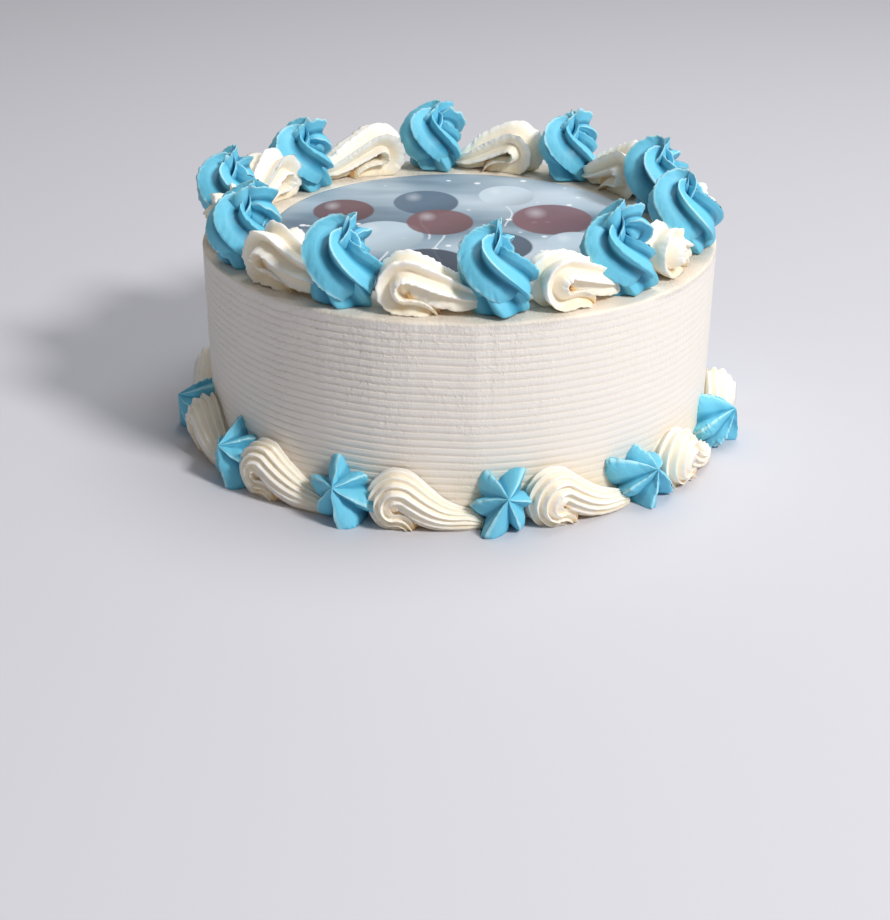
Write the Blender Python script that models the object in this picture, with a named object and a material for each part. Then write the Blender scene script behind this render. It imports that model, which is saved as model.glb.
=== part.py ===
"""Round iced cake with a combed side, a printed icing sheet and two piped buttercream borders.

The cake stands on z = 0 with its middle on the Z axis. Azimuths are measured anticlockwise from +X,
seen from above, and the side that is looked at first faces -Y.
"""
import math
import random

import bmesh
import bpy
from mathutils import Matrix, Vector

MM = 0.001
DEGREE = math.pi / 180

# The cake: an 8-inch sponge under buttercream, which is slightly wider at its top
CAKE_HEIGHT = 79.7 * MM
FOOT_RADIUS = 101.9 * MM
RIM_RADIUS = 103.0 * MM
RIM_ROUNDING = 2.6 * MM
BODY_SIDES = 32

# The comb's marks round the side
COMB_PITCH = 3.0 * MM
COMB_DEPTH = 0.7 * MM
COMB_START = 1.2 * MM

# The printed icing sheet
PRINT_RADIUS = 76.2 * MM
PRINT_THICKNESS = 0.8 * MM
PRINT_SIDES = 48

# Touching pieces keep this gap
GAP = 0.3 * MM

# The piped pieces: the blue nozzle has six teeth
NOZZLE_TEETH = 6
SHELL_POINTS = 11

# Top swirls, one row each: azimuth in degrees, height and width
TOP_RING_RADIUS = 90.5 * MM
TOP_SWIRLS = (
    (242.0, 31.5 * MM, 30.0 * MM),
    (279.5, 32.0 * MM, 31.5 * MM),
    (313.0, 33.0 * MM, 30.5 * MM),
    (348.0, 31.0 * MM, 31.5 * MM),
    (380.0, 30.0 * MM, 31.0 * MM),
    (417.0, 28.5 * MM, 32.0 * MM),
    (457.0, 29.0 * MM, 30.0 * MM),
    (497.0, 29.0 * MM, 31.0 * MM),
    (533.0, 29.5 * MM, 29.0 * MM),
    (565.0, 31.0 * MM, 32.0 * MM),
)

# Base stars, one row each: azimuth in degrees and width; the last ones stand behind the cake
BASE_STARS = (
    (190.0, 26.0 * MM),
    (217.0, 25.5 * MM),
    (246.0, 26.0 * MM),
    (279.0, 27.0 * MM),
    (310.5, 25.5 * MM),
    (344.5, 26.0 * MM),
    (382.0, 25.5 * MM),
    (416.0, 26.0 * MM),
    (450.0, 26.5 * MM),
    (484.0, 26.0 * MM),
    (517.0, 25.5 * MM),
)

# A swirl's outline from its foot to its tip: height and radius as shares of the whole, and the turn
# in degrees; a short star foot carries a wider twisted head
SWIRL_PROFILE = (
    (0.00, 0.80, 0),
    (0.10, 0.84, 5),
    (0.22, 0.78, 12),
    (0.31, 0.72, 20),
    (0.36, 0.98, 30),
    (0.48, 1.00, 55),
    (0.62, 0.93, 85),
    (0.75, 0.74, 118),
    (0.87, 0.48, 152),
    (0.95, 0.24, 180),
    (1.00, 0.05, 195),
)
SWIRL_GROOVE = 0.64

# A star drop's outline along its leaning axis: distance from its middle and radius in half widths
STAR_PROFILE = (
    (-0.75, 0.80),
    (-0.35, 0.97),
    (0.05, 1.00),
    (0.28, 0.78),
    (0.52, 0.42),
    (0.80, 0.05),
)
STAR_GROOVE = 0.52
STAR_RING_RADIUS = 107.5 * MM
STAR_MIDDLE_HEIGHT = 10.5 * MM
STAR_RISE = 32 * DEGREE

# A shell's ribs across its depth: place and size as shares of half its depth and of its outline
SHELL_RIBS = (
    (-1.00, 0.42),
    (-0.82, 0.78),
    (-0.62, 0.72),
    (-0.42, 0.96),
    (-0.21, 0.85),
    (0.00, 1.00),
    (0.21, 0.85),
    (0.42, 0.96),
    (0.62, 0.70),
    (0.80, 0.72),
    (0.97, 0.36),
)
SHELL_LEAN = 0.16
# Past its head a shell thins and sinks by these shares of half its height
TAIL_THINNING = 0.5
TAIL_DROP = 0.55

TOP_SHELL_HEIGHT = 22.5 * MM
TOP_SHELL_DEPTH = 23.0 * MM
TOP_SHELL_TAIL = 25.0 * MM
BASE_SHELL_HEIGHT = 22.5 * MM
BASE_SHELL_DEPTH = 19.5 * MM
BASE_SHELL_TAIL = 28.0 * MM
BASE_SHELL_RING_RADIUS = 106.0 * MM
BASE_SHELL_SINK = 0.5 * MM
# A shell's head stands this share of the span before the middle between its blue neighbours
TOP_SHELL_SHIFT = 0.08
BASE_SHELL_SHIFT = 0.12

# The cutters reach this far past what they cut
CUTTER_REACH = 40 * MM

IVORY = (0.86, 0.80, 0.70)
CREAM = (0.88, 0.82, 0.71)
SKY_BLUE = (0.07, 0.45, 0.68)
SLATE = (0.26, 0.34, 0.42)


def clear_scene():
    for thing in list(bpy.data.objects):
        bpy.data.objects.remove(thing)


def material(name, colour, roughness):
    """A plain material with the part's own colour."""
    made = bpy.data.materials.new(name)
    made.use_nodes = True
    shader = made.node_tree.nodes["Principled BSDF"]
    shader.inputs["Base Color"].default_value = (*colour, 1.0)
    shader.inputs["Roughness"].default_value = roughness
    shader.inputs["Metallic"].default_value = 0.0
    return made


def solid_from_rings(name, rings):
    """A closed object through rings that all have the same number of points."""
    mesh = bmesh.new()
    loops = [[mesh.verts.new(point) for point in ring] for ring in rings]
    for low, high in zip(loops, loops[1:]):
        for i in range(len(low)):
            j = (i + 1) % len(low)
            mesh.faces.new((low[i], low[j], high[j], high[i]))
    mesh.faces.new(reversed(loops[0]))
    mesh.faces.new(loops[-1])
    bmesh.ops.recalc_face_normals(mesh, faces=mesh.faces[:])
    data = bpy.data.meshes.new(name)
    mesh.to_mesh(data)
    mesh.free()
    made = bpy.data.objects.new(name, data)
    bpy.context.scene.collection.objects.link(made)
    return made


def finish(piece, look, smooth_angle):
    """Give a piece its material and its shading."""
    piece.data.materials.append(look)
    piece.data.shade_smooth()
    piece.data.set_sharp_from_angle(angle=smooth_angle)


def as_cutter(piece):
    """Keep an object out of the part, as a tool that only cuts."""
    piece.hide_render = True
    piece.display_type = "WIRE"
    return piece


def cut(piece, cutters):
    """Take the cutters away from a piece with one Boolean each."""
    for cutter in cutters:
        trim = piece.modifiers.new("trim_" + cutter.name, "BOOLEAN")
        trim.operation = "DIFFERENCE"
        trim.solver = "EXACT"
        trim.object = cutter


def ring_frame(azimuth, radius, height):
    """A frame whose X runs anticlockwise round the cake, whose -Y faces outwards and whose Z is up."""
    turn = Matrix.Rotation((azimuth + 90) * DEGREE, 4, "Z")
    return turn @ Matrix.Translation((0, -radius, height))


def circle(radius, height, sides):
    step = 2 * math.pi / sides
    return [Vector((radius * math.cos(i * step), radius * math.sin(i * step), height))
            for i in range(sides)]


def side_radius(height):
    """The radius of the smooth side, which widens a little upwards."""
    return FOOT_RADIUS + (RIM_RADIUS - FOOT_RADIUS) * height / CAKE_HEIGHT


def body_profile(combed, spare):
    """Radius and height pairs from the foot to the top, with or without the comb's marks."""
    shoulder = CAKE_HEIGHT - RIM_ROUNDING
    profile = [(side_radius(0) + spare, 0.0)]
    if combed:
        count = int((shoulder - COMB_START) / COMB_PITCH)
        for mark in range(count):
            low = COMB_START + mark * COMB_PITCH
            middle = low + COMB_PITCH / 2
            profile.append((side_radius(low), low))
            profile.append((side_radius(middle) - COMB_DEPTH, middle))
    for step in range(4):
        angle = step * 30 * DEGREE
        across = RIM_ROUNDING * (1 - math.cos(angle))
        profile.append((RIM_RADIUS - across + spare, shoulder + RIM_ROUNDING * math.sin(angle)))
    return profile


def cake_body(look):
    rings = [circle(radius, height, BODY_SIDES) for radius, height in body_profile(True, 0.0)]
    body = solid_from_rings("cake_body", rings)
    finish(body, look, 60 * DEGREE)
    return body


def wall_cutter():
    """The cake's smooth outline with the gap round it, to fit the base border to the side."""
    profile = body_profile(False, GAP)
    rings = [circle(radius, height, BODY_SIDES) for radius, height in profile]
    rings.insert(0, circle(profile[0][0], -CUTTER_REACH, BODY_SIDES))
    return as_cutter(solid_from_rings("wall_cutter", rings))


def slab_cutter(name, top):
    """A slab under the given height, to fit pieces to what they stand on."""
    half = RIM_RADIUS + CUTTER_REACH
    corners = ((-half, -half), (half, -half), (half, half), (-half, half))
    rings = [[Vector((x, y, level)) for x, y in corners] for level in (top - CUTTER_REACH, top)]
    return as_cutter(solid_from_rings(name, rings))


def print_sheet(look):
    bottom = CAKE_HEIGHT + GAP
    rings = [circle(PRINT_RADIUS, level, PRINT_SIDES) for level in (bottom, bottom + PRINT_THICKNESS)]
    sheet = solid_from_rings("print_sheet", rings)
    finish(sheet, look, 40 * DEGREE)
    return sheet


def toothed_ring(radius, groove, turn, place):
    """One ring with a tooth at every other point, at a place given as a matrix."""
    count = 2 * NOZZLE_TEETH
    points = []
    for i in range(count):
        reach = radius if i % 2 == 0 else radius * groove
        angle = turn + i * 2 * math.pi / count
        points.append(place @ Vector((reach * math.cos(angle), reach * math.sin(angle), 0.0)))
    return points


def swirl_rings(azimuth, height, width, start_turn, groove, spare):
    """Rings of a swirl whose ribs climb clockwise, seen from above."""
    frame = ring_frame(azimuth, TOP_RING_RADIUS, CAKE_HEIGHT + GAP)
    rings = []
    for share, reach, turn in SWIRL_PROFILE:
        place = frame @ Matrix.Translation((0, 0, share * height))
        radius = reach * width / 2 + spare
        rings.append(toothed_ring(radius, groove, start_turn - turn * DEGREE, place))
    return rings


def star_rings(azimuth, width, start_turn, groove, spare):
    """Rings of a star drop piped into the corner under the cake's side, its tip leaning outwards."""
    frame = ring_frame(azimuth, STAR_RING_RADIUS, STAR_MIDDLE_HEIGHT)
    lean = Matrix.Rotation(90 * DEGREE - STAR_RISE, 4, "X")
    rings = []
    for along, reach in STAR_PROFILE:
        place = frame @ lean @ Matrix.Translation((0, 0, along * width / 2))
        rings.append(toothed_ring(reach * width / 2 + spare, groove, start_turn, place))
    return rings


def shell_rings(frame, height, depth, tail):
    """Rings of a shell that curls up at its head and trails off anticlockwise round the cake."""
    half = height / 2
    rings = []
    for place, size in SHELL_RIBS:
        centre_x = SHELL_LEAN * half * place
        points = []
        for i in range(SHELL_POINTS):
            angle = i * 2 * math.pi / SHELL_POINTS
            ahead = max(0.0, math.cos(angle))
            reach = half + (tail - half) * ahead
            x = centre_x + size * reach * math.cos(angle)
            rise = math.sin(angle) * (1 - TAIL_THINNING * ahead) - TAIL_DROP * ahead * ahead
            z = half * (1 + size * rise)
            points.append(frame @ Vector((x, -place * depth / 2, z)))
        rings.append(points)
    return rings


def neighbours_gap(pieces, index):
    """Middle azimuth and angle between a blue piece and the next one round the cake."""
    here = pieces[index][0]
    after = pieces[(index + 1) % len(pieces)][0]
    span = (after - here) % 360
    return here + span / 2, span


def top_border(swirl_look, shell_look, draw):
    """Swirls round the rim, and between each two a shell trimmed to fit them."""
    bed = slab_cutter("top_bed_cutter", CAKE_HEIGHT + GAP)
    cutters = []
    for number, (azimuth, height, width) in enumerate(TOP_SWIRLS, start=1):
        turn = draw.uniform(-15, 15) * DEGREE
        rings = swirl_rings(azimuth, height, width, turn, SWIRL_GROOVE, 0.0)
        finish(solid_from_rings(f"top_swirl_{number:02d}", rings), swirl_look, 35 * DEGREE)
        rings = swirl_rings(azimuth, height, width, turn, 1.0, GAP)
        cutters.append(as_cutter(solid_from_rings(f"swirl_cutter_{number:02d}", rings)))
    for index in range(len(TOP_SWIRLS)):
        azimuth, span = neighbours_gap(TOP_SWIRLS, index)
        size = draw.uniform(0.94, 1.06)
        frame = ring_frame(azimuth - TOP_SHELL_SHIFT * span, TOP_RING_RADIUS, CAKE_HEIGHT)
        rings = shell_rings(frame, TOP_SHELL_HEIGHT * size, TOP_SHELL_DEPTH, TOP_SHELL_TAIL * size)
        shell = solid_from_rings(f"top_shell_{index + 1:02d}", rings)
        finish(shell, shell_look, 35 * DEGREE)
        cut(shell, (bed, cutters[index], cutters[(index + 1) % len(cutters)]))


def base_border(star_look, shell_look, draw):
    """Star drops round the foot, and between each two a shell trimmed to fit them and the side."""
    ground = slab_cutter("ground_cutter", 0.0)
    wall = wall_cutter()
    cutters = []
    for number, (azimuth, width) in enumerate(BASE_STARS, start=1):
        turn = draw.uniform(-20, 20) * DEGREE
        rings = star_rings(azimuth, width, turn, STAR_GROOVE, 0.0)
        star = solid_from_rings(f"base_star_{number:02d}", rings)
        finish(star, star_look, 35 * DEGREE)
        cut(star, (ground, wall))
        rings = star_rings(azimuth, width, turn, 0.9, GAP)
        cutters.append(as_cutter(solid_from_rings(f"star_cutter_{number:02d}", rings)))
    for index in range(len(BASE_STARS)):
        azimuth, span = neighbours_gap(BASE_STARS, index)
        size = draw.uniform(0.95, 1.05)
        frame = ring_frame(azimuth - BASE_SHELL_SHIFT * span, BASE_SHELL_RING_RADIUS, -BASE_SHELL_SINK)
        rings = shell_rings(frame, BASE_SHELL_HEIGHT * size, BASE_SHELL_DEPTH, BASE_SHELL_TAIL * size)
        shell = solid_from_rings(f"base_shell_{index + 1:02d}", rings)
        finish(shell, shell_look, 35 * DEGREE)
        cut(shell, (ground, wall, cutters[index], cutters[(index + 1) % len(cutters)]))


def main():
    clear_scene()
    draw = random.Random(8)
    blue = material("blue_buttercream", SKY_BLUE, 0.5)
    cream = material("cream_buttercream", CREAM, 0.5)
    cake_body(material("iced_cake", IVORY, 0.55))
    print_sheet(material("printed_icing", SLATE, 0.45))
    top_border(blue, cream, draw)
    base_border(blue, cream, draw)


main()
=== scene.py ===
"""Looks of the iced cake: combed buttercream, a printed icing sheet and piped swirls, shells and stars."""
import math
import random

import bpy
import numpy as np
from mathutils import Matrix, Vector


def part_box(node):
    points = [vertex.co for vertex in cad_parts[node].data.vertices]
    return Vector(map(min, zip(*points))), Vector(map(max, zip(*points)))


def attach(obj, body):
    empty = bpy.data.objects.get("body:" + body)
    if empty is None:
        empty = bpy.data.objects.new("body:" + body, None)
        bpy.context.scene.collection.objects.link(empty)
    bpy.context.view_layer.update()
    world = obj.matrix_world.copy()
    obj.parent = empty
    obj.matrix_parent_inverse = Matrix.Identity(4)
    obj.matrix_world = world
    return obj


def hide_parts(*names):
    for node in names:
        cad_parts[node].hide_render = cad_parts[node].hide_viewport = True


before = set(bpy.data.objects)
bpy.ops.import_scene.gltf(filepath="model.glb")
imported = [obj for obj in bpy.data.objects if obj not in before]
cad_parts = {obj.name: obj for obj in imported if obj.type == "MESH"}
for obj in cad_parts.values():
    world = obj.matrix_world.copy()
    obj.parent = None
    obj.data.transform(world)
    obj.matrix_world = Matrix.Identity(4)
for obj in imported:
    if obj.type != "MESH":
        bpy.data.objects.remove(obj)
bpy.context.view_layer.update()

MM = 0.001
DEGREE = math.pi / 180
TAU = 2 * math.pi

# The cake's own sizes, read from the frame
BODY_LOW, BODY_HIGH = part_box("cake_body")
CAKE_HEIGHT = BODY_HIGH[2]
RIM_RADIUS = (BODY_HIGH[0] - BODY_LOW[0]) / 2
FOOT_RADIUS = RIM_RADIUS - 1.1 * MM  # the side leans in a little towards the foot
RIM_ROUNDING = 1.2 * MM
PRINT_LOW, PRINT_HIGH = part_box("print_sheet")
PRINT_RADIUS = (PRINT_HIGH[0] - PRINT_LOW[0]) / 2
PRINT_TOP = PRINT_HIGH[2]

# The comb's marks, and the azimuths where they are wiped, where the comb pressed hardest and where it stopped
COMB_PITCH = 3.0 * MM
COMB_DEPTH = 0.42 * MM
WIPED_AZIMUTH = -150 * DEGREE
PRESSED_AZIMUTH = -108 * DEGREE
SEAM_AZIMUTH = -87 * DEGREE
SEAM_HALF_WIDTH = 2.4 * DEGREE

# Rings on which the borders are piped
TOP_RING_RADIUS = 90.5 * MM
STAR_RING_RADIUS = 107.5 * MM
BASE_SHELL_RING_RADIUS = 106.0 * MM

# How far the piped pieces sink into the top and into the side
TOP_SINK = 0.3 * MM
SIDE_SINK = 0.8 * MM

# Points nearer to each other than this become one
WELD = 0.004 * MM
CAKE_WELD = 0.01 * MM

RANDOM_START = 5

# Camera, matched to the photograph's view of the cake
CAMERA_PLACE = (-5.4 * MM, -734.8 * MM, 324.6 * MM)
CAMERA_DIP = 25.29 * DEGREE
CAMERA_ROLL = 0.33 * DEGREE
CAMERA_LENS = 77.0
CAMERA_FILM = 36.0


class Term:
    """A socket of a node tree that adds and multiplies like a number."""

    def __init__(self, graph, socket):
        self.graph = graph
        self.socket = socket

    def __add__(self, other):
        return self.graph.math("ADD", self, other)

    __radd__ = __add__

    def __sub__(self, other):
        return self.graph.math("SUBTRACT", self, other)

    def __rsub__(self, other):
        return self.graph.math("SUBTRACT", other, self)

    def __mul__(self, other):
        return self.graph.math("MULTIPLY", self, other)

    __rmul__ = __mul__

    def __truediv__(self, other):
        return self.graph.math("DIVIDE", self, other)

    def __pow__(self, other):
        return self.graph.math("POWER", self, other)


class Graph:
    """A node tree with short calls for its nodes, links and formulas."""

    def __init__(self, tree):
        self.tree = tree

    def node(self, kind, values=None, **settings):
        made = self.tree.nodes.new(kind)
        for name, value in settings.items():
            setattr(made, name, value)
        for name, value in (values or {}).items():
            self.feed(made.inputs[name], value)
        return made

    def feed(self, socket, value):
        if isinstance(value, Term):
            self.tree.links.new(value.socket, socket)
        elif isinstance(value, bpy.types.NodeSocket):
            self.tree.links.new(value, socket)
        else:
            socket.default_value = value

    def math(self, operation, *values):
        made = self.node("ShaderNodeMath", operation=operation)
        for socket, value in zip(made.inputs, values):
            self.feed(socket, value)
        return Term(self, made.outputs[0])

    def sin(self, angle):
        return self.math("SINE", angle)

    def cos(self, angle):
        return self.math("COSINE", angle)

    def between(self, value, low, high):
        """How far a value has come from low to high, kept between 0 and 1."""
        made = self.node("ShaderNodeMapRange", clamp=True)
        for name, given in (("Value", value), ("From Min", low), ("From Max", high)):
            self.feed(made.inputs[name], given)
        return Term(self, made.outputs[0])

    def split(self, vector):
        made = self.node("ShaderNodeSeparateXYZ", {"Vector": vector})
        return [Term(self, socket) for socket in made.outputs]

    def join(self, x, y, z):
        made = self.node("ShaderNodeCombineXYZ", {"X": x, "Y": y, "Z": z})
        return made.outputs[0]

    def noise(self, vector, scale, detail=2.0, roughness=0.5):
        made = self.node("ShaderNodeTexNoise", {"Vector": vector, "Scale": scale, "Detail": detail,
                                                "Roughness": roughness})
        return Term(self, made.outputs[0])

    def curve(self, value, points):
        """A smooth curve through points whose values may be outside 0 to 1 by a little."""
        made = self.node("ShaderNodeFloatCurve", {"Value": value})
        mapping = made.mapping
        mapping.use_clip = False
        line = mapping.curves[0]
        for point, place in zip(line.points, (points[0], points[-1])):
            point.location = place
        for place in points[1:-1]:
            line.points.new(*place)
        mapping.update()
        return Term(self, made.outputs[0])


class Shape(Graph):
    """A Geometry Nodes tree that bends a grid into one piece of the cake."""

    def __init__(self, name):
        super().__init__(bpy.data.node_groups.new(name, "GeometryNodeTree"))
        self.tree.interface.new_socket("Geometry", in_out="OUTPUT", socket_type="NodeSocketGeometry")
        self.given = self.tree.nodes.new("NodeGroupInput")

    def size(self, name, kind="NodeSocketFloat"):
        """A named input of the tree."""
        self.tree.interface.new_socket(name, in_out="INPUT", socket_type=kind)
        return Term(self, self.given.outputs[name])

    def grid(self, columns, rows):
        """A flat grid with its running shares across and along."""
        made = self.node("GeometryNodeMeshGrid", {"Vertices X": columns + 1, "Vertices Y": rows + 1,
                                                  "Size X": 1.0, "Size Y": 1.0})
        place = self.node("GeometryNodeInputPosition")
        x, y, _ = self.split(place.outputs[0])
        keep_across = self.keep(made.outputs[0], "across", x + 0.5)
        keep_along = self.keep(keep_across, "along", y + 0.5)
        return keep_along, self.kept("across"), self.kept("along")

    def keep(self, geometry, name, value):
        """Store a value on the mesh's points under a name."""
        made = self.node("GeometryNodeStoreNamedAttribute", {"Geometry": geometry, "Name": name},
                         data_type="FLOAT", domain="POINT")
        self.feed(made.inputs["Value"], value)
        return made.outputs[0]

    def kept(self, name):
        made = self.node("GeometryNodeInputNamedAttribute", {"Name": name}, data_type="FLOAT")
        return Term(self, made.outputs[0])

    def place(self, geometry, position):
        made = self.node("GeometryNodeSetPosition", {"Geometry": geometry, "Position": position})
        return made.outputs[0]

    def close(self, geometry, weld):
        """Weld the seam and the poles, smooth the faces, set the material and end the tree."""
        look = self.size("Look", "NodeSocketMaterial")
        welded = self.node("GeometryNodeMergeByDistance", {"Geometry": geometry, "Distance": weld})
        smooth = self.node("GeometryNodeSetShadeSmooth", {"Geometry": welded.outputs[0]})
        real = self.node("GeometryNodeRealizeInstances", {"Geometry": smooth.outputs[0]})
        finished = self.node("GeometryNodeSetMaterial", {"Geometry": real.outputs[0], "Material": look})
        end = self.node("NodeGroupOutput")
        self.feed(end.inputs[0], finished.outputs[0])
        return self.tree

    def stand(self, geometry):
        """Move a piece from its own frame to its place round the cake."""
        made = self.node("GeometryNodeTransform", {
            "Geometry": geometry,
            "Translation": self.size("Place", "NodeSocketVector"),
            "Rotation": self.size("Turned", "NodeSocketRotation")})
        return made.outputs[0]

    def settle(self, geometry):
        """Flatten a piece on what it rests on, and against the cake's side."""
        floor = self.size("Floor")
        wall = self.size("Wall")
        where = self.node("GeometryNodeInputPosition").outputs[0]
        x, y, z = self.split(where)
        out = self.math("MAXIMUM", self.math("SQRT", x * x + y * y), 1e-6)
        push = self.math("MAXIMUM", out, wall) / out
        return self.place(geometry, self.join(x * push, y * push, self.math("MAXIMUM", z, floor)))


def make(name, tree, sizes, nodes):
    """Run a tree with the given sizes and keep its result as a plain mesh in place of CAD nodes."""
    piece = bpy.data.objects.new(name, bpy.data.meshes.new(name + "_start"))
    bpy.context.scene.collection.objects.link(piece)
    maker = piece.modifiers.new("shape", "NODES")
    maker.node_group = tree
    for item in tree.interface.items_tree:
        if item.in_out == "INPUT":
            maker[item.identifier] = sizes[item.name]
    ready = bpy.context.evaluated_depsgraph_get()
    mesh = bpy.data.meshes.new_from_object(piece.evaluated_get(ready), depsgraph=ready)
    piece.modifiers.remove(maker)
    mesh.name = name
    piece.data = mesh
    face_outwards(mesh)
    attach(piece, "root")
    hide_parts(*nodes)
    return piece


def face_outwards(mesh):
    """Turn the faces over if the mesh encloses a negative volume."""
    mesh.calc_loop_triangles()
    corners = np.empty(len(mesh.loop_triangles) * 3, dtype=np.int32)
    mesh.loop_triangles.foreach_get("vertices", corners)
    points = np.empty(len(mesh.vertices) * 3)
    mesh.vertices.foreach_get("co", points)
    a, b, c = points.reshape(-1, 3)[corners.reshape(-1, 3)].transpose(1, 0, 2)
    if np.einsum("ij,ij->i", a, np.cross(b, c)).sum() < 0:
        mesh.flip_normals()


def tooth(shape, share, teeth, sharpness):
    """1 on each rib's edge, which is a little rounded, falling to 0 in the groove between two ribs."""
    wave = shape.sin(share * teeth * math.pi)
    softened = shape.math("SQRT", wave * wave + 0.005)
    return shape.math("MAXIMUM", 1.065 - softened, 0.0) ** sharpness


def tooth_mood(shape, share, teeth, seed):
    """A number from -1 to 1 that is the same all along one rib."""
    number = shape.math("FLOORED_MODULO", shape.math("ROUND", share * teeth), teeth)
    return shape.sin(number * 2.4 + seed)


def combed_cake():
    """The whole iced cake: flat foot, combed side, rounded rim and smooth top."""
    shape = Shape("combed_cake")
    foot = shape.size("Foot Radius")
    rim = shape.size("Rim Radius")
    height = shape.size("Height")
    rounding = shape.size("Rounding")
    pitch = shape.size("Comb Pitch")
    depth = shape.size("Comb Depth")
    seed = shape.size("Seed")
    grid, across, along = shape.grid(columns=300, rows=320)
    angle = across * TAU
    foot_end, side_end, rim_end = 0.01, 0.9, 0.94
    under = shape.between(along, 0.0, foot_end)
    side = shape.between(along, foot_end, side_end)
    bend = shape.between(along, side_end, rim_end) * (math.pi / 2)
    inwards = shape.between(along, rim_end, 1.0)
    shoulder = height - rounding
    level = side * shoulder
    round_x, round_y = shape.cos(angle), shape.sin(angle)
    around = shape.join(round_x, round_y, level * 2.0 + seed)
    upright = shape.join(round_x * 2.0, round_y * 2.0, seed)

    # The marks: uneven, wiped shallow in one part, with a small burr beside each groove
    wobble = (shape.noise(around, 3.0) - 0.5) * (0.7 * pitch)
    strength = 0.35 + 1.2 * shape.noise(shape.join(round_x * 3, round_y * 3, level * 25 + seed), 2.0, 4.0)
    wiped_round = shape.between(shape.cos(angle - WIPED_AZIMUTH), 0.86, 0.97)
    wiped = wiped_round * shape.between(level, 10 * MM, 65 * MM)
    evenness = 0.66 + 0.42 * shape.cos((angle - PRESSED_AZIMUTH) * 2.0)
    pressed = strength * evenness * (1.0 - 0.65 * wiped)
    phase = (level + wobble) / pitch * TAU
    mark = 1.0 - shape.math("ABSOLUTE", shape.sin(phase * 0.5))
    burr = (0.5 + 0.5 * shape.cos(phase + 1.1)) ** 12.0
    fade = shape.between(level, 0.0, pitch) * shape.between(shoulder - level, 0.3 * MM, pitch)
    groove = (mark * 0.9 - 0.35 * burr) * depth * pressed * fade

    # The icing: broad swells, the upright seam, small ripples and a beaded rim
    broad = (shape.noise(upright, 1.6) - 0.5) * (1.4 * MM)
    narrow = (shape.noise(upright, 6.0) - 0.5) * (0.7 * MM)
    swell = (broad + narrow) * side
    near_seam = shape.between(shape.cos(angle - SEAM_AZIMUTH), math.cos(SEAM_HALF_WIDTH), 1.0)
    seam = near_seam * (0.3 * MM) * side
    ripple = (shape.noise(shape.join(round_x, round_y, level * 12), 22.0, 3.0) - 0.5) * (0.25 * MM)
    bead = (shape.noise(upright, 34.0, 4.0, 0.7) - 0.5) * (1.4 * MM) * shape.sin(bend)
    radius = foot + (rim - foot) * side - groove + swell + seam + ripple * side + bead
    radius = radius - rounding * (1.0 - shape.cos(bend))
    radius = radius * under * (1.0 - inwards)
    lumps = shape.noise(shape.join(round_x * radius, round_y * radius, seed), 90.0, 3.0)
    lift = (lumps - 0.5) * (0.5 * MM)
    up = level + rounding * shape.sin(bend) + (lift - 0.2 * MM) * shape.sin(bend)
    # The comb's mark is kept as the ridge value, which sets the painted shade in the comb's grooves
    marked = shape.keep(grid, "ridge", 1.0 - mark * fade)
    bent = shape.place(marked, shape.join(round_x * radius, round_y * radius, up))
    return shape.close(bent, CAKE_WELD)


def piped_star(columns, rows):
    """A star-shaped drop of buttercream whose ribs run from its foot to its tip."""
    shape = Shape("piped_star")
    height = shape.size("Height")
    width = shape.size("Width")
    teeth = shape.size("Teeth")
    groove = shape.size("Groove")
    start = shape.size("Start")
    twist = shape.size("Twist")
    sweep = shape.size("Lip Sweep")
    thin_lip = shape.size("Thin Lip")
    unlike = shape.size("Unlike Ribs")
    ragged = shape.size("Ragged")
    seed = shape.size("Seed")
    grid, across, along = shape.grid(columns, rows)
    sharpness = shape.curve(along, ((0.0, 0.40), (0.35, 0.48), (0.6, 0.95), (1.0, 1.4)))
    rib = tooth(shape, across, teeth, sharpness)
    crest = tooth(shape, across, teeth, 8.0)
    mood = tooth_mood(shape, across, teeth, seed)
    reach = shape.curve(along, ((0.0, 0.0), (0.06, 0.92), (0.20, 0.98), (0.38, 1.04), (0.43, 1.02),
                                (0.60, 0.74), (0.74, 0.46), (0.88, 0.18), (0.95, 0.07), (1.0, 0.0)))
    rise = shape.curve(along, ((0.0, 0.0), (0.06, 0.0), (0.20, 0.18), (0.36, 0.42), (0.48, 0.56),
                               (0.60, 0.70), (0.74, 0.83), (0.88, 0.94), (0.95, 0.98), (1.0, 1.0)))
    turn = shape.curve(along, ((0.0, 0.0), (0.5, 0.3), (1.0, 1.0)))
    torn = shape.noise(shape.join(across * 30, along * 20, seed), 1.0, 2.0) - 0.5
    crimp = shape.noise(shape.join(across * 5, along * 4, seed + 9.0), 1.0)
    blunt = shape.math("SMOOTH_MIN", rib, 0.80, 0.05)
    edge = blunt * (1.0 + unlike * mood) + ragged * torn * rib ** 4.0 * (0.4 + 1.6 * crimp)
    depth = 1.0 - groove
    radius = width * 0.5 * reach * (1.0 - depth + depth * edge) + thin_lip * crest * reach
    angle = across * TAU - turn * twist + start - sweep * rib
    lean = (shape.noise(shape.join(seed, along * 2.5, 0.0), 1.0) - 0.5) * (0.16 * width) * rise
    x = radius * shape.cos(angle) + lean
    y = radius * shape.sin(angle) + lean * shape.sin(seed * 3.0)
    # The rib profile is kept as the ridge value, which sets the painted shade in the grooves
    ribbed = shape.keep(grid, "ridge", tooth(shape, across, teeth, 0.8))
    bent = shape.place(ribbed, shape.join(x, y, height * rise))
    settled = shape.settle(shape.stand(bent))
    return shape.close(settled, WELD)


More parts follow.
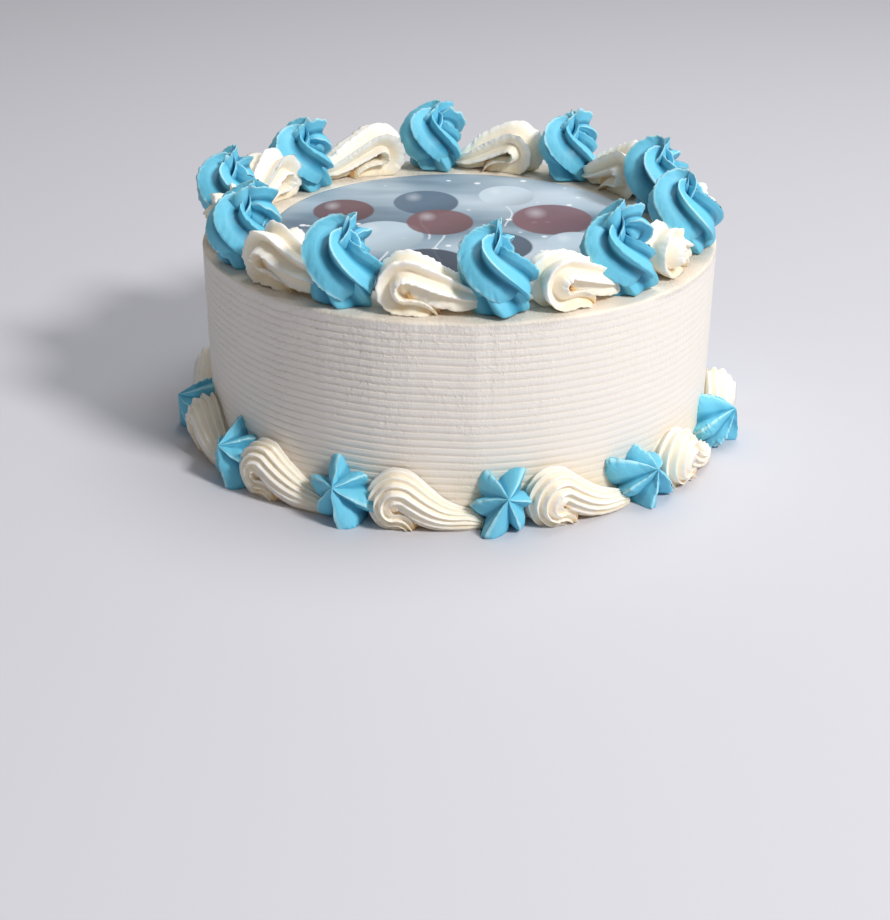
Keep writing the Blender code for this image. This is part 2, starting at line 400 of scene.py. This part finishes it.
def swirl_foot(shape, foot, height, teeth, thin_lip, seed):
    """The short star on which a swirl stands, with its ribs turned a little."""
    grid, across, along = shape.grid(columns=84, rows=28)
    rib = tooth(shape, across, teeth, 0.6)
    mood = tooth_mood(shape, across, teeth, seed + 2.0)
    reach = shape.curve(along, ((0.0, 0.0), (0.10, 0.84), (0.20, 0.95), (0.35, 1.0), (0.55, 0.98),
                                (0.8, 0.92), (1.0, 0.0)))
    rise = shape.curve(along, ((0.0, 0.0), (0.10, 0.0), (0.20, 0.06), (0.35, 0.22), (0.55, 0.48),
                               (0.8, 0.8), (1.0, 1.0)))
    radius = foot * reach * (0.70 + 0.30 * rib * (1.0 + 0.3 * mood)) + thin_lip * rib ** 9.0
    angle = across * TAU - rise * 0.9 + seed - 0.2 * rib
    # Painted shade: the foot's grooves darker, the more so lower down, under the rope's overhang
    ribbed = shape.keep(grid, "ridge", tooth(shape, across, teeth, 0.9) * (0.45 + 0.55 * rise))
    return shape.place(ribbed, shape.join(radius * shape.cos(angle), radius * shape.sin(angle),
                                          height * 0.45 * rise))


def piped_swirl(columns, rows):
    """A star-shaped foot, and a ribbed rope wound clockwise up round it and pulled off in a torn tip."""
    shape = Shape("piped_swirl")
    height = shape.size("Height")
    rope = shape.size("Rope Radius")
    coil = shape.size("Coil Radius")
    turns = shape.size("Turns")
    start = shape.size("Start")
    screw = shape.size("Rib Screw")
    teeth = shape.size("Teeth")
    groove = shape.size("Groove")
    sweep = shape.size("Lip Sweep")
    thin_lip = shape.size("Thin Lip")
    spikes = shape.size("Torn Tips")
    ragged = shape.size("Ragged")
    foot = shape.size("Foot Radius")
    seed = shape.size("Seed")
    grid, across, along = shape.grid(columns, rows)
    ring = shape.curve(along, ((0.0, 0.50), (0.12, 0.78), (0.28, 1.0), (0.45, 1.08), (0.62, 1.0),
                               (0.78, 0.74), (0.90, 0.46), (1.0, 0.25)))
    climb = shape.curve(along, ((0.0, 0.0), (0.15, 0.05), (0.30, 0.19), (0.45, 0.40), (0.60, 0.64),
                                (0.75, 0.87), (0.86, 1.0), (1.0, 1.0)))
    girth = shape.curve(along, ((0.0, 0.0), (0.02, 0.36), (0.07, 0.60), (0.18, 0.80), (0.34, 0.95),
                                (0.50, 1.0), (0.68, 1.0), (0.79, 0.93), (0.87, 0.78), (0.93, 0.56),
                                (0.98, 0.28), (1.0, 0.0)))
    rib = tooth(shape, across, teeth, 0.72 + 0.9 * shape.between(along, 0.78, 0.95))
    crest = tooth(shape, across, teeth, 7.0)
    mood = tooth_mood(shape, across, teeth, seed)
    torn = shape.noise(shape.join(across * 30, along * 85, seed), 1.0, 4.0, 0.65) - 0.5
    crimp = shape.noise(shape.join(across * 5, along * 6, seed + 9.0), 1.0)
    edge = rib * (1.0 + 0.12 * mood) + ragged * torn * rib ** 4.0 * (0.4 + 1.6 * crimp)
    section = rope * girth * (groove + (1.0 - groove) * edge) + thin_lip * crest * girth
    angle = across * TAU + screw * TAU * along - sweep * rib + seed
    swing = start - turns * TAU * along
    wander = (shape.noise(shape.join(seed, along * 3.0, 0.0), 1.0) - 0.5) * (0.25 * rope)
    out = coil * ring + section * shape.cos(angle) + wander
    crown = shape.between(along, 0.84, 0.90) * (1.0 - shape.between(along, 0.91, 0.96))
    points = shape.math("ABSOLUTE", shape.sin(along * 60.0 + seed)) ** 2.0
    spike = spikes * crown * crest * points * shape.math("MAXIMUM", 0.45 + mood, 0.0)
    low = 0.98 * rope
    level = low + (height - 0.88 * rope - low) * climb
    z = level + section * shape.sin(angle) + spike * shape.between(shape.sin(angle), 0.0, 0.6)
    # Painted shade: the grooves darker, and the lower turns of the rope darker still, where they lie in shade
    shade = tooth(shape, across, teeth, 1.25) * (0.65 + 0.35 * shape.between(climb, 0.0, 0.35))
    ribbed = shape.keep(grid, "ridge", shade)
    wound = shape.place(ribbed, shape.join(out * shape.cos(swing), out * shape.sin(swing), z))
    both = shape.node("GeometryNodeJoinGeometry")
    shape.feed(both.inputs[0], swirl_foot(shape, foot, height, teeth + 1.0, thin_lip, seed))
    shape.feed(both.inputs[0], wound)
    settled = shape.settle(shape.stand(both.outputs[0]))
    return shape.close(settled, WELD)


def piped_shell(name, columns, rows):
    """A ribbed rope of buttercream that starts low, curls up and over, and lies down in a tail."""
    shape = Shape(name)
    rope = shape.size("Rope Radius")
    depth = shape.size("Depth Share")
    curl = shape.size("Curl Radius")
    pivot = shape.size("Curl Height")
    swing_from = shape.size("Curl Start")
    swing_by = shape.size("Curl Swing")
    lead_length = shape.size("Lead Length")
    lead_drop = shape.size("Lead Drop")
    tail_length = shape.size("Tail Length")
    tail_size = shape.size("Tail Size")
    teeth = shape.size("Teeth")
    groove = shape.size("Groove")
    sweep = shape.size("Lip Sweep")
    thin_lip = shape.size("Thin Lip")
    twist = shape.size("Twist")
    start = shape.size("Start")
    ragged = shape.size("Ragged")
    fall = shape.size("Tail Fall")
    slump = shape.size("Tail Slump")
    ring_radius = shape.size("Ring Radius")
    sharpness = shape.size("Rib Sharpness")
    seed = shape.size("Seed")
    grid, across, along = shape.grid(columns, rows)

    # The rope's three stretches: the lead, the curl and the tail
    lead_end, curl_end = 0.24, 0.56
    lead = 1.0 - shape.between(along, 0.0, lead_end)
    bend = shape.between(along, lead_end, curl_end)
    trail = shape.between(along, curl_end, 1.0)

    # The rope's ribbed section
    rib = tooth(shape, across, teeth, sharpness)
    crest = tooth(shape, across, teeth, 7.0)
    mood = tooth_mood(shape, across, teeth, seed)
    torn = shape.noise(shape.join(across * 26, along * 38, seed), 1.0, 2.0) - 0.5
    crimp = shape.noise(shape.join(across * 5, along * 5, seed + 9.0), 1.0)
    head = shape.curve(along, ((0.0, 0.0), (0.01, 0.40), (0.06, 0.62), (0.20, 0.80), (0.34, 0.96),
                               (0.45, 1.0), (1.0, 1.0)))
    closing = shape.curve(trail, ((0.0, 1.0), (0.70, 0.95), (0.90, 0.6), (1.0, 0.0)))
    taper = shape.between(along, 0.48, 0.95)
    girth = head * (1.0 - (1.0 - tail_size) * taper * (2.0 - taper)) * closing
    edge = rib * (1.0 + 0.12 * mood) + ragged * torn * rib ** 3.0 * (0.3 + 1.8 * crimp)
    rib_depth = (1.0 - groove) * (1.0 - 0.45 * trail)
    section = rope * girth * (1.0 - rib_depth + rib_depth * edge) + thin_lip * crest * girth
    angle = across * TAU + start + twist * along - sweep * rib

    # The rope's way: up and over the curl, then down into the tail, kept above the floor
    outwards = curl * girth + section * shape.cos(angle)
    outwards = shape.math("MAXIMUM", outwards, -0.8 * MM - trail * 0.03)
    settling = shape.between(trail, 0.0, 0.75)
    dip = shape.sin(settling * math.pi)
    swing = swing_from - bend * swing_by - dip * (20 * DEGREE) + settling * (12 * DEGREE)
    middle = pivot * (1.0 - fall * (1.0 - (1.0 - settling) ** slump))
    z = middle + outwards * shape.sin(swing) - lead ** 2.0 * lead_drop
    tuck = 1.0 - 0.75 * shape.between(z * -1.0, 0.0, 2.5 * MM)
    x = (outwards * shape.cos(swing) * tuck + shape.sin(lead * (math.pi / 2)) * lead_length
         + trail * tail_length)
    y = section * depth * shape.sin(angle) * tuck + x * x / (ring_radius * 2.0)
    lean = (shape.noise(shape.join(seed, along * 2.0, 1.0), 1.0) - 0.5) * (3.0 * MM)

    # Painted shade: the colour darkens and warms in the grooves, inside the curl and just above the floor,
    # where shade falls
    open_air = shape.between(outwards + settling * (8.0 * MM), 0.0, 4.5 * MM)
    unlevel = shape.noise(shape.join(across * 9, along * 9, seed), 1.0) * (4.0 * MM)
    above = 0.2 + 0.8 * shape.between(z - unlevel, 0.0, 2.5 * MM)
    ribbed = shape.keep(grid, "ridge", (rib + 0.20) * open_air * above)
    bent = shape.place(ribbed, shape.join(x, y + lean, z))
    settled = shape.settle(shape.stand(bent))
    return shape.close(settled, WELD)


def printed_disc():
    """The icing sheet: a thin disc with a soft edge and a top that isn't quite flat."""
    shape = Shape("printed_disc")
    radius = shape.size("Radius")
    bottom = shape.size("Bottom")
    thickness = shape.size("Thickness")
    grid, across, along = shape.grid(columns=160, rows=30)
    angle = across * TAU
    reach = shape.curve(along, ((0.0, 0.0), (0.04, 0.992), (0.07, 1.0), (0.10, 0.997), (0.13, 0.985),
                                (1.0, 0.0)))
    rise = shape.curve(along, ((0.0, 0.0), (0.04, 0.0), (0.07, 0.35), (0.10, 0.85), (0.14, 1.0),
                               (1.0, 1.0)))
    x = radius * reach * shape.cos(angle)
    y = radius * reach * shape.sin(angle)
    wave = (shape.noise(shape.join(x, y, 0.0), 40.0) - 0.5) * (0.3 * MM)
    bent = shape.place(grid, shape.join(x, y, bottom + rise * (thickness + wave)))
    return shape.close(bent, WELD)


def new_look(name, roughness, **fixed):
    """A material whose plain values are set on the shader's own sockets."""
    made = bpy.data.materials.new(name)
    made.use_nodes = True
    graph = Graph(made.node_tree)
    shader = made.node_tree.nodes["Principled BSDF"]
    shader.inputs["Roughness"].default_value = roughness
    for socket, value in fixed.items():
        shader.inputs[socket.replace("_", " ")].default_value = value
    return made, graph, shader


def colour_ramp(graph, value, stops):
    """Colours along a value, each stop with its place and its colour."""
    made = graph.node("ShaderNodeValToRGB", {"Fac": value})
    elements = made.color_ramp.elements
    while len(elements) < len(stops):
        elements.new(0.5)
    for element, (place, colour) in zip(elements, stops):
        element.position = place
        element.color = (*colour, 1.0)
    return made.outputs[0]


def blend_colour(graph, share, first, second):
    made = graph.node("ShaderNodeMix", data_type="RGBA")
    colour_inputs, colour_output = (made.inputs[6], made.inputs[7]), made.outputs[2]
    graph.feed(made.inputs["Factor"], share)
    for socket, value in zip(colour_inputs, (first, second)):
        graph.feed(socket, (*value, 1.0) if isinstance(value, tuple) else value)
    return colour_output


def stored(graph, name):
    """A value that the mesh carries on its points."""
    return Term(graph, graph.node("ShaderNodeAttribute", attribute_name=name).outputs["Fac"])


def object_place(graph):
    return graph.node("ShaderNodeTexCoord").outputs["Object"]


def bump(graph, shader, height, strength, distance):
    made = graph.node("ShaderNodeBump", {"Height": height, "Strength": strength, "Distance": distance})
    graph.feed(shader.inputs["Normal"], made.outputs[0])


def buttercream(name, deep, groove, face, edge, glow):
    """Piped buttercream: painted shade, darker and warmer, in the grooves, a painted highlight on the paler
    thin edges, fine lines along the ribs.
    """
    made, graph, shader = new_look(name, 0.5, Subsurface_Weight=glow, Subsurface_Scale=0.003,
                                   Subsurface_Radius=(1.0, 0.8, 0.6), Specular_IOR_Level=0.35)
    where = object_place(graph)
    tint = graph.noise(where, 90.0, 3.0)
    # Painted shade: the deepest and groove colours where the ridge value is low, in the grooves; painted
    # highlight: the edge colour on the rib crests
    colour = colour_ramp(graph, stored(graph, "ridge"),
                         ((0.0, deep), (0.08, groove), (0.30, face), (0.85, face), (1.0, edge)))
    colour = blend_colour(graph, (tint - 0.5) * 0.5, colour, edge)
    graph.feed(shader.inputs["Base Color"], colour)
    across, along = stored(graph, "across"), stored(graph, "along")
    lines = graph.noise(graph.join(across * 260, along * 14, 0.0), 1.0, 3.0)
    grain = graph.noise(where, 1400.0, 4.0, 0.6)
    pits = graph.node("ShaderNodeTexVoronoi", {"Vector": where, "Scale": 330.0}).outputs["Distance"]
    pit = graph.between(pits, 0.0, 0.2) * graph.between(graph.noise(where, 120.0), 0.42, 0.55)
    bump(graph, shader, lines * 0.5 + grain * 0.4 + pit * 0.5, 0.45, 0.35 * MM)
    return made


def iced_side(name):
    """Ivory icing, a little yellower at its rim and foot, with smears and crumbs where it was dragged."""
    made, graph, shader = new_look(name, 0.52, Subsurface_Weight=0.2, Subsurface_Scale=0.004,
                                   Subsurface_Radius=(1.0, 0.8, 0.6), Specular_IOR_Level=0.3)
    ridge = stored(graph, "ridge")
    where = object_place(graph)
    # Painted shade: the icing a little darker and warmer in the comb's grooves
    colour = colour_ramp(graph, ridge, ((0.0, (0.80, 0.75, 0.69)), (0.6, (0.82, 0.78, 0.73)),
                                        (1.0, (0.83, 0.79, 0.75))))
    patch = graph.noise(where, 30.0, 3.0)
    colour = blend_colour(graph, (patch - 0.5) * 0.6, colour, (0.83, 0.77, 0.67))
    x, y, z = graph.split(where)
    top = graph.between(z, CAKE_HEIGHT - 1.6 * MM, CAKE_HEIGHT - 0.6 * MM)
    colour = blend_colour(graph, top * 0.9, colour, (0.84, 0.77, 0.67))
    low_down = 1.0 - graph.between(z, 6.0 * MM, 26.0 * MM)
    buttery = low_down * graph.between(graph.noise(where, 28.0, 2.0), 0.35, 0.65)
    colour = blend_colour(graph, buttery * 0.7, colour, (0.86, 0.74, 0.50))
    graph.feed(shader.inputs["Base Color"], colour)
    streaks = graph.noise(graph.join(x * 60, y * 60, z * 900), 1.0, 3.0)
    smears = graph.noise(graph.join(x * 420, y * 420, z * 50), 1.0, 4.0, 0.6)
    high_up = graph.between(z, 30.0 * MM, 78.0 * MM)
    to_the_right = graph.between(x, 0.0, 50.0 * MM)
    torn = graph.between(graph.noise(where, 45.0, 2.0) + high_up * 0.35, 0.45, 0.8)
    torn = torn * (1.0 - 0.75 * to_the_right)
    grain = graph.noise(where, 900.0, 4.0, 0.6)
    notch = 1.0 - graph.between(ridge, 0.2, 0.8)
    crumbs = graph.between(graph.noise(where, 620.0, 3.0, 0.6), 0.48, 0.68) * (0.4 + notch)
    at_the_rim = graph.between(z, CAKE_HEIGHT - 3.0 * MM, CAKE_HEIGHT - 1.4 * MM)
    rim = at_the_rim * graph.between(graph.noise(where, 40.0, 2.0), 0.42, 0.6)
    rough_rim = graph.between(graph.noise(where, 800.0, 4.0, 0.7), 0.35, 0.75) * rim
    relief = streaks * 0.5 + grain * 0.5 + smears * torn * 2.2 + crumbs * torn * 1.6 + rough_rim * 6.0
    bump(graph, shader, relief, 0.45, 0.4 * MM)
    return made


# The printed balloons, one row each: how far right and back in mm, half their width in mm, and their paint
PLUM, DARK_PLUM = (0.20, 0.10, 0.12), (0.15, 0.07, 0.08)
SLATE, NAVY = (0.07, 0.10, 0.15), (0.10, 0.15, 0.22)
PRINTED_BALLOONS = (
    (38, 12, 17, PLUM),
    (14, -22, 15, SLATE),
    (-30, -10, 16, (0.50, 0.62, 0.72)),
    (-14, 34, 14, NAVY),
    (20, 44, 12, (0.55, 0.66, 0.76)),
    (-48, 22, 13, DARK_PLUM),
    (-8, 8, 14, (0.20, 0.10, 0.11)),
    (46, -18, 12, (0.46, 0.57, 0.67)),
    (-12, -44, 16, (0.05, 0.06, 0.09)),
    (-52, -14, 12, (0.13, 0.07, 0.09)),
)


def printed_icing(name):
    """Soft fields of slate, pale blue and plum with balloons, their strings and small white specks."""
    made, graph, shader = new_look(name, 0.5, Specular_IOR_Level=0.35)
    where = object_place(graph)
    x, y, _ = graph.split(where)
    wash = graph.noise(graph.join(x * 9, y * 22, 0.3), 1.0, 3.0) - graph.between(y, 0.0, 80.0 * MM) * 0.08
    colour = colour_ramp(graph, wash, ((0.30, (0.07, 0.10, 0.15)), (0.45, (0.20, 0.28, 0.36)),
                                       (0.56, (0.38, 0.48, 0.57)), (0.70, (0.58, 0.67, 0.76))))
    specks = graph.node("ShaderNodeTexVoronoi", {"Vector": graph.join(x, y, 0.0), "Scale": 95.0,
                                                 "Randomness": 1.0}).outputs["Distance"]
    speck = 1.0 - graph.between(specks, 0.10, 0.16)
    colour = blend_colour(graph, speck * 0.9, colour, (0.85, 0.87, 0.92))
    for right, back, half_width, paint in PRINTED_BALLOONS:
        away_x = (x - right * MM) / (half_width * MM)
        away_y = (y - back * MM) / (half_width * 1.2 * MM)
        below = 1.0 - graph.between(away_y, -1.0, -0.98)
        string_end = graph.between(away_y, -2.9, -2.8)
        sway = graph.math("ABSOLUTE", away_x - graph.sin(away_y * 2.6 + right * 0.3) * 0.14)
        string = (1.0 - graph.between(sway, 0.018, 0.045)) * below * string_end
        colour = blend_colour(graph, string * 0.7, colour, (0.75, 0.80, 0.86))
        away = graph.math("SQRT", away_x * away_x + away_y * away_y)
        inside = 1.0 - graph.between(away, 0.94, 1.0)
        far_side = graph.between(away_x * 0.6 - away_y * 0.8, 0.0, 1.0)
        shaded = blend_colour(graph, far_side * 0.55, paint, tuple(part * 0.35 for part in paint))
        colour = blend_colour(graph, inside * 0.92, colour, shaded)
        gleam_x, gleam_y = away_x + 0.38, away_y - 0.42
        from_gleam = graph.math("SQRT", gleam_x * gleam_x + gleam_y * gleam_y * 0.5)
        gleam = 1.0 - graph.between(from_gleam, 0.04, 0.30)
        colour = blend_colour(graph, gleam * 0.32, colour, (0.80, 0.84, 0.90))
    graph.feed(shader.inputs["Base Color"], colour)
    bump(graph, shader, graph.noise(where, 700.0, 3.0), 0.15, 0.2 * MM)
    return made


def node_azimuth(node):
    """The azimuth of a node's middle."""
    low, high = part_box(node)
    return math.atan2(low[1] + high[1], low[0] + high[0])


def round_the_cake(azimuth, radius, height):
    """Where a piece stands, and the turn that makes its X run anticlockwise round the cake."""
    place = (radius * math.cos(azimuth), radius * math.sin(azimuth), height)
    return place, azimuth + math.pi / 2


def names(stem):
    """The CAD nodes whose names start with a stem, in order."""
    return sorted(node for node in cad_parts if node.startswith(stem))


def pipe_top_swirls(look, draw):
    """Blue swirls, all begun towards the back, so that their full side faces the front."""
    tree = piped_swirl(columns=110, rows=190)
    for node in names("top_swirl"):
        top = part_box(node)[1][2]
        place, turned = round_the_cake(node_azimuth(node), TOP_RING_RADIUS, CAKE_HEIGHT)
        sizes = {
            "Height": top - CAKE_HEIGHT,
            "Rope Radius": draw.uniform(10.5, 11.3) * MM,
            "Coil Radius": draw.uniform(4.5, 5.2) * MM,
            "Turns": draw.uniform(1.15, 1.4),
            "Start": draw.uniform(50, 110) * DEGREE - turned,
            "Rib Screw": draw.uniform(1.35, 1.65),
            "Teeth": 4.0,
            "Groove": 0.57,
            "Lip Sweep": 0.44,
            "Thin Lip": 0.6 * MM,
            "Torn Tips": 3.0 * MM,
            "Ragged": 0.55,
            "Foot Radius": draw.uniform(10.6, 11.4) * MM,
            "Seed": draw.uniform(0, 50),
            "Place": place,
            "Turned": (draw.uniform(-5, 5) * DEGREE, draw.uniform(-5, 5) * DEGREE, turned),
            "Floor": CAKE_HEIGHT - TOP_SINK,
            "Wall": 0.0,
            "Look": look,
        }
        make(node + "_piped", tree, sizes, [node])


def pipe_base_stars(look, draw):
    """Blue stars in the corner between the floor and the side, tips leaning outwards."""
    tree = piped_star(columns=108, rows=64)
    rise = 32 * DEGREE
    behind = 9.7 * MM
    for node in names("base_star"):
        azimuth = node_azimuth(node)
        place, turned = round_the_cake(azimuth, STAR_RING_RADIUS, 10.5 * MM)
        axis = Vector((math.cos(azimuth) * math.cos(rise), math.sin(azimuth) * math.cos(rise), math.sin(rise)))
        sizes = {
            "Height": 20.0 * MM,
            "Width": draw.uniform(0.97, 1.03) * 29.0 * MM,
            "Teeth": 6.0,
            "Groove": 0.40,
            "Start": draw.uniform(-30, 30) * DEGREE,
            "Twist": draw.uniform(0, 30) * DEGREE,
            "Lip Sweep": 0.26,
            "Thin Lip": 0.55 * MM,
            "Unlike Ribs": 0.40,
            "Ragged": 0.60,
            "Seed": draw.uniform(0, 50),
            "Place": tuple(Vector(place) - axis * behind),
            "Turned": (90 * DEGREE - rise, 0.0, turned),
            "Floor": 0.0,
            "Wall": FOOT_RADIUS - SIDE_SINK,
            "Look": look,
        }
        make(node + "_piped", tree, sizes, [node])


def pipe_top_shells(look, draw):
    """Cream shells between the swirls, with a few deep ribs."""
    tree = piped_shell("piped_top_shell", columns=140, rows=160)
    for node in names("top_shell"):
        place, turned = round_the_cake(node_azimuth(node) - 3 * DEGREE, TOP_RING_RADIUS, CAKE_HEIGHT)
        sizes = {
            "Rope Radius": draw.uniform(8.5, 9.1) * MM,
            "Depth Share": 1.28,
            "Curl Radius": 4.8 * MM,
            "Curl Height": 8.8 * MM,
            "Ring Radius": TOP_RING_RADIUS,
            "Curl Start": draw.uniform(-115, -90) * DEGREE,
            "Curl Swing": draw.uniform(165, 195) * DEGREE,
            "Lead Length": draw.uniform(10, 14) * MM,
            "Lead Drop": draw.uniform(9, 11) * MM,
            "Tail Length": draw.uniform(25, 28) * MM,
            "Tail Size": 0.66,
            "Tail Fall": 0.72,
            "Tail Slump": 1.3,
            "Rib Sharpness": 0.68,
            "Teeth": 7.0,
            "Groove": 0.47,
            "Lip Sweep": 0.26,
            "Thin Lip": 0.4 * MM,
            "Twist": draw.uniform(10, 50) * DEGREE,
            "Start": draw.uniform(43, 59) * DEGREE,
            "Ragged": 0.55,
            "Seed": draw.uniform(0, 50),
            "Place": place,
            "Turned": (0.0, 0.0, turned),
            "Floor": CAKE_HEIGHT - TOP_SINK,
            "Wall": 0.0,
            "Look": look,
        }
        make(node + "_piped", tree, sizes, [node])


def pipe_base_shells(look, draw):
    """Cream shells between the stars, with many fine ribs."""
    tree = piped_shell("piped_base_shell", columns=180, rows=125)
    for node in names("base_shell"):
        place, turned = round_the_cake(node_azimuth(node) - 4.6 * DEGREE, BASE_SHELL_RING_RADIUS, 0.0)
        sizes = {
            "Rope Radius": draw.uniform(8.0, 8.5) * MM,
            "Depth Share": 1.12,
            "Curl Radius": 5.3 * MM,
            "Curl Height": 8.7 * MM,
            "Ring Radius": BASE_SHELL_RING_RADIUS,
            "Curl Start": draw.uniform(-125, -100) * DEGREE,
            "Curl Swing": draw.uniform(160, 185) * DEGREE,
            "Lead Length": draw.uniform(6, 9) * MM,
            "Lead Drop": draw.uniform(9, 11) * MM,
            "Tail Length": draw.uniform(29, 32) * MM,
            "Tail Size": 0.56,
            "Tail Fall": 1.0,
            "Tail Slump": 2.2,
            "Rib Sharpness": 0.8,
            "Teeth": 15.0,
            "Groove": 0.75,
            "Lip Sweep": 0.16,
            "Thin Lip": 0.35 * MM,
            "Twist": draw.uniform(30, 60) * DEGREE,
            "Start": draw.uniform(0, 24) * DEGREE,
            "Ragged": 0.4,
            "Seed": draw.uniform(0, 50),
            "Place": place,
            "Turned": (0.0, 0.0, turned),
            "Floor": 0.0,
            "Wall": FOOT_RADIUS - SIDE_SINK,
            "Look": look,
        }
        make(node + "_piped", tree, sizes, [node])


def ice_the_cake(look):
    sizes = {"Foot Radius": FOOT_RADIUS, "Rim Radius": RIM_RADIUS, "Height": CAKE_HEIGHT,
             "Rounding": RIM_ROUNDING, "Comb Pitch": COMB_PITCH, "Comb Depth": COMB_DEPTH, "Seed": 4.0,
             "Look": look}
    make("iced_cake", combed_cake(), sizes, ["cake_body"])


def lay_the_print(look):
    bottom = CAKE_HEIGHT - 0.1 * MM
    sizes = {"Radius": PRINT_RADIUS, "Bottom": bottom, "Thickness": PRINT_TOP - bottom, "Look": look}
    make("printed_sheet", printed_disc(), sizes, ["print_sheet"])


def lay_the_floor():
    mesh = bpy.data.meshes.new("floor")
    half = 4.0
    corners = [(-half, -half, 0), (half, -half, 0), (half, half, 0), (-half, half, 0)]
    mesh.from_pydata(corners, [], [(0, 1, 2, 3)])
    floor = bpy.data.objects.new("floor", mesh)
    bpy.context.scene.collection.objects.link(floor)
    look, _, shader = new_look("pale_floor", 0.7)
    shader.inputs["Base Color"].default_value = (0.61, 0.62, 0.68, 1.0)
    mesh.materials.append(look)


def area_light(name, place, aim, size, power, colour):
    data = bpy.data.lights.new(name, "AREA")
    data.shape = "DISK"
    data.size = size
    data.energy = power
    data.color = colour
    light = bpy.data.objects.new(name, data)
    bpy.context.scene.collection.objects.link(light)
    light.location = place
    light.rotation_euler = (Vector(aim) - Vector(place)).to_track_quat("-Z", "Y").to_euler()


def light_the_studio():
    """A key light high at the front right, a weak light overhead and an even surround."""
    middle = (0.0, 0.0, 0.05)
    area_light("key_light", place=(1.25, -1.05, 1.47), aim=middle, size=0.45, power=40.0,
               colour=(1.0, 0.97, 0.94))
    area_light("top_light", place=(0.3, 0.35, 1.3), aim=middle, size=0.9, power=8.0,
               colour=(1.0, 0.99, 0.97))
    world = bpy.data.worlds.new("studio")
    world.use_nodes = True
    back = world.node_tree.nodes["Background"]
    back.inputs["Color"].default_value = (1.0, 0.985, 0.975, 1.0)
    back.inputs["Strength"].default_value = 0.22
    bpy.context.scene.world = world


def set_the_camera():
    data = bpy.data.cameras.new("camera")
    data.sensor_fit = "HORIZONTAL"
    data.sensor_width = CAMERA_FILM
    data.lens = CAMERA_LENS
    data.clip_start = 0.01
    camera = bpy.data.objects.new("camera", data)
    bpy.context.scene.collection.objects.link(camera)
    camera.matrix_world = (Matrix.Translation(CAMERA_PLACE)
                           @ Matrix.Rotation(math.pi / 2 - CAMERA_DIP, 4, "X")
                           @ Matrix.Rotation(CAMERA_ROLL, 4, "Z"))
    bpy.context.scene.camera = camera


def main():
    draw = random.Random(RANDOM_START)
    bpy.context.scene.view_settings.view_transform = "Standard"
    set_the_camera()
    light_the_studio()
    lay_the_floor()
    # The deepest and groove colours are painted shade, the edge colours a painted highlight
    blue = buttercream("blue_buttercream", deep=(0.008, 0.11, 0.21), groove=(0.04, 0.30, 0.48),
                       face=(0.155, 0.57, 0.78), edge=(0.46, 0.81, 0.92), glow=0.15)
    cream = buttercream("cream_buttercream", deep=(0.97, 0.56, 0.22), groove=(0.97, 0.79, 0.54),
                        face=(0.975, 0.885, 0.755), edge=(0.985, 0.94, 0.87), glow=0.5)
    ice_the_cake(iced_side("ivory_icing"))
    lay_the_print(printed_icing("printed_icing"))
    pipe_top_swirls(blue, draw)
    pipe_top_shells(cream, draw)
    pipe_base_stars(blue, draw)
    pipe_base_shells(cream, draw)


main()
